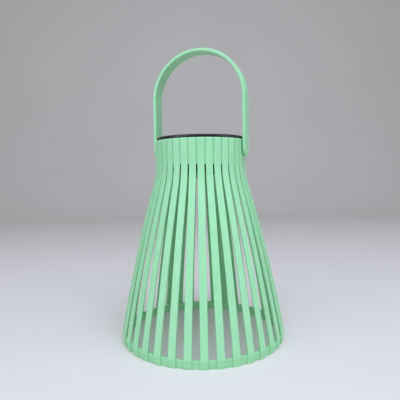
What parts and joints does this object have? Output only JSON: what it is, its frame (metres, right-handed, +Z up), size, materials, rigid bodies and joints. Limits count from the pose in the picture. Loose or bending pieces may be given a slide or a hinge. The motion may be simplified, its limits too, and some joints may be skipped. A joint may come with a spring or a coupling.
{
  "type": "solar garden lantern",
  "caption": "Bell-shaped hanging garden lantern: a slatted plastic cage, open below, with a flat strap handle and a round solar light unit in its neck.",
  "frame": {"origin": "on the lantern's axis, in the plane of the cage's foot, on which it stands", "axes": "+Z up along the lantern's axis; X along the line through the handle's two pins; -Y is taken as the front"},
  "size_m": [0.1454, 0.1454, 0.2552],
  "materials": {
    "mint_plastic": "satin moulded polypropylene",
    "black_plastic": "satin moulded ABS",
    "clear_window": "clear, glossy",
    "solar_cell": "dark blue silicon with silver lines",
    "seal_rubber": "matt",
    "battery_sleeve": "plain shrink sleeve",
    "plated_steel": "bright zinc or nickel plating",
    "board_laminate": "solder resist",
    "chip_plastic": "moulded epoxy",
    "inductor_lacquer": "lacquered",
    "led_epoxy": "clear epoxy",
    "frosted_plastic": "frosted",
    "knob_plastic": "moulded",
    "red_insulation": "PVC",
    "black_insulation": "PVC"
  },
  "bodies": {
    "cage_body": {"cage": "mint_plastic"},
    "handle_body": {"handle": "mint_plastic"},
    "light_unit": {"lid": "black_plastic", "solar_window": "clear_window", "solar_cell": "solar_cell", "lid_seal": "seal_rubber", "lower_housing": "black_plastic", "battery": "battery_sleeve", "battery_contact_minus": "plated_steel", "battery_contact_plus": "plated_steel", "battery_spring": "plated_steel", "housing_screw_1": "plated_steel", "housing_screw_2": "plated_steel", "housing_screw_3": "plated_steel", "board_screw_1": "plated_steel", "board_screw_2": "plated_steel", "circuit_board": "board_laminate", "control_chip": "chip_plastic", "inductor": "inductor_lacquer", "led": "led_epoxy", "led_lead_anode": "plated_steel", "led_lead_cathode": "plated_steel", "diffuser": "frosted_plastic", "switch_body": "chip_plastic", "solar_wire_positive": "red_insulation", "solar_wire_negative": "black_insulation", "battery_wire_positive": "red_insulation", "battery_wire_negative": "black_insulation"},
    "cover_body": {"battery_cover": "black_plastic", "cover_screw": "plated_steel"},
    "knob_body": {"switch_knob": "knob_plastic"}
  },
  "joints": [
    {"name": "handle_swing", "type": "hinge", "parent": "cage_body", "child": "handle_body", "pos_m": [0, 0, 0.1675], "axis": [1, 0, 0], "range_deg": [-136, 136]},
    {"name": "light_twist", "type": "hinge", "parent": "cage_body", "child": "light_unit", "pos_m": [0, 0, 0.1756], "axis": [0, 0, 1], "range_deg": [0, 30]},
    {"name": "cover_removal", "type": "slide", "parent": "light_unit", "child": "cover_body", "axis": [0, 0, -1], "range_m": [0, 0.153]},
    {"name": "switch_slide", "type": "slide", "parent": "light_unit", "child": "knob_body", "axis": [1, 0, 0], "range_m": [0, 0.003]}
  ]
}
